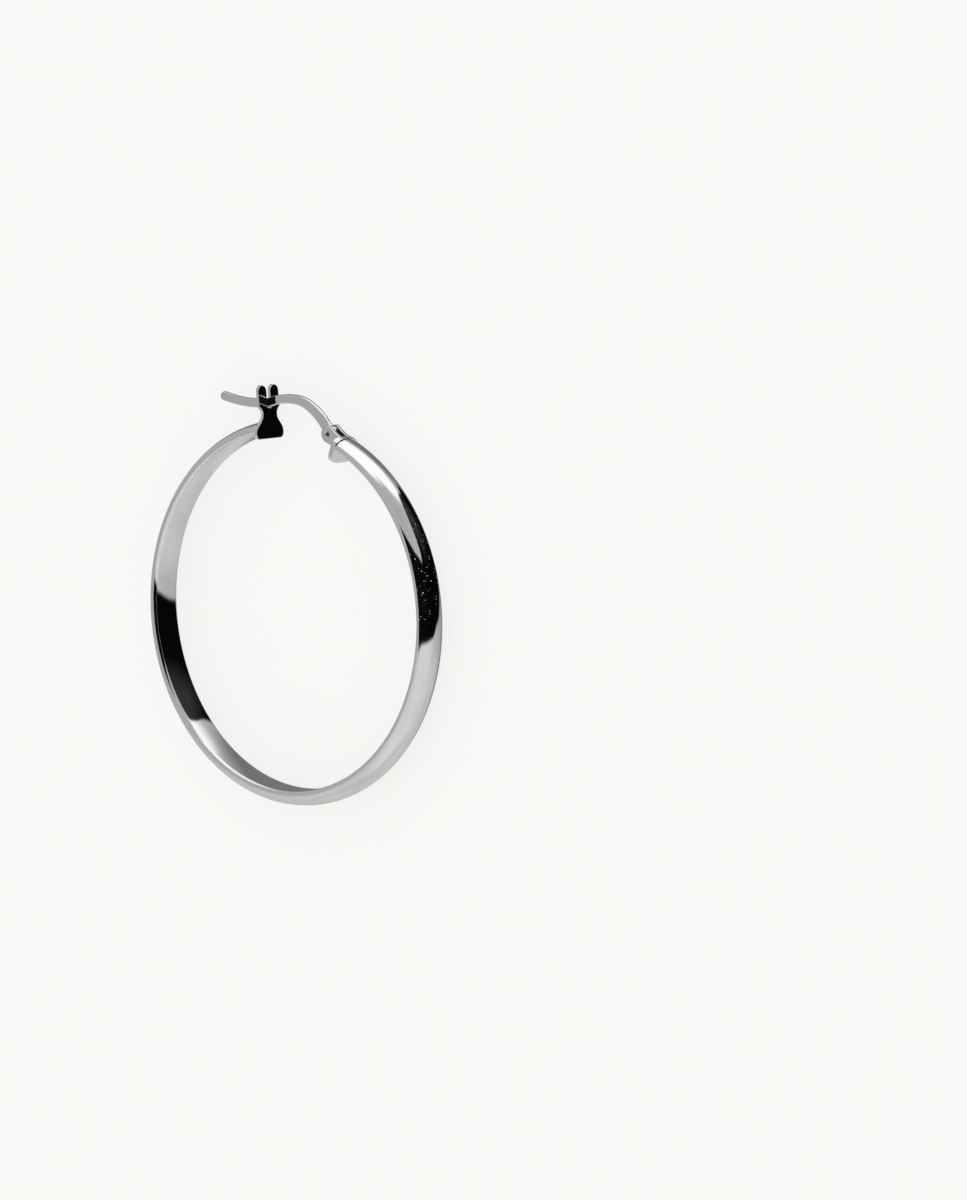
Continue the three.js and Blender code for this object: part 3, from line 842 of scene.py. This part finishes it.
on_screen = mask((turn, -66, 16), (turn, -4, -30), (height, -20, 16), (height, 44, -16))
above_card = mask((height, edge("white_from"), 14))
on_card = mask((height, edge("card_foot"), 3), (height, edge("card_top"), -3))
glint = mask((height, 29, 20), (turn, 18, 24), (turn, 55, -24))
card = add(tree, "ShaderNodeMix", {0: glint, 2: CARD_BLACK, 3: CARD_SHEEN}, data_type="FLOAT").outputs[0]
for where, coat in ((on_screen, SCREEN_GREY), (above_card, TENT_WHITE), (on_card, card)):
    room = add(tree, "ShaderNodeMix", {0: where, 2: room, 3: coat}, data_type="FLOAT").outputs[0]
print("studio painted with", len(tree.nodes), "nodes")

# %% [markdown]
# Only mirror reflections see the painted room. Matt surfaces take an even white light, as they would
# in a large tent, and the camera sees plain paper past the floor's edge.

# %% Light from the studio
WHITE = (1, 1, 1, 1)
path = add(tree, "ShaderNodeLightPath").outputs
mirrored = add(tree, "ShaderNodeBackground", {"Color": WHITE, "Strength": room}).outputs[0]
even = add(tree, "ShaderNodeBackground", {"Color": WHITE, "Strength": 1.0}).outputs[0]
sweep = add(tree, "ShaderNodeBackground", {"Color": PAPER, "Strength": 1.0}).outputs[0]
lit_by = add(tree, "ShaderNodeMixShader", {0: path["Is Glossy Ray"], 1: even, 2: mirrored}).outputs[0]
seen = add(tree, "ShaderNodeMixShader", {0: path["Is Camera Ray"], 1: lit_by, 2: sweep}).outputs[0]
add(tree, "ShaderNodeOutputWorld", {"Surface": seen})
print("world:", world.name)

# %% [markdown]
# ## The camera
# The photo shows the hoop turned 43 degrees away and seen from a little above. The camera keeps that
# angle to the hoop as it lies, so it looks down on it from about 46 degrees, and is rolled so that the
# gap is at the top of the picture. The lens is very long, as the photo has no perspective to speak of.
# The picture shows 9.684 pixels for each millimetre, and the hoop's middle lies left of its own.

# %% The camera
TURN = radians(43.1)
TILT = radians(6.5)
SENSOR = 36.0
LENS = 500.0
FAR_END = 10.0
PICTURE = (967, 1200)
PIXEL = MM / 9.684
HOOP_PLACE = (295.4, 612.3)

towards = Vector((sin(TURN) * cos(TILT), sin(TILT), cos(TURN) * cos(TILT)))
right = Vector((cos(TURN), 0, -sin(TURN)))
up = towards.cross(right)
distance = PICTURE[1] * PIXEL * LENS / SENSOR
hoop_across = (HOOP_PLACE[0] - PICTURE[0] / 2) * PIXEL
hoop_down = (HOOP_PLACE[1] - PICTURE[1] / 2) * PIXEL
spot = CENTRE - right * hoop_across + up * hoop_down + towards * distance

camera_data = bpy.data.cameras.new("camera")
camera_data.sensor_fit = "VERTICAL"
camera_data.sensor_height = SENSOR
camera_data.lens = LENS
camera_data.clip_end = FAR_END
camera = bpy.data.objects.new("camera", camera_data)
bpy.context.scene.collection.objects.link(camera)
camera.matrix_world = Matrix((
    (right.x, up.x, towards.x, spot.x),
    (right.y, up.y, towards.y, spot.y),
    (right.z, up.z, towards.z, spot.z),
    (0, 0, 0, 1),
))
bpy.context.scene.camera = camera
bpy.context.scene.view_settings.view_transform = "Standard"
print("camera stands", round(distance, 2), "m away")
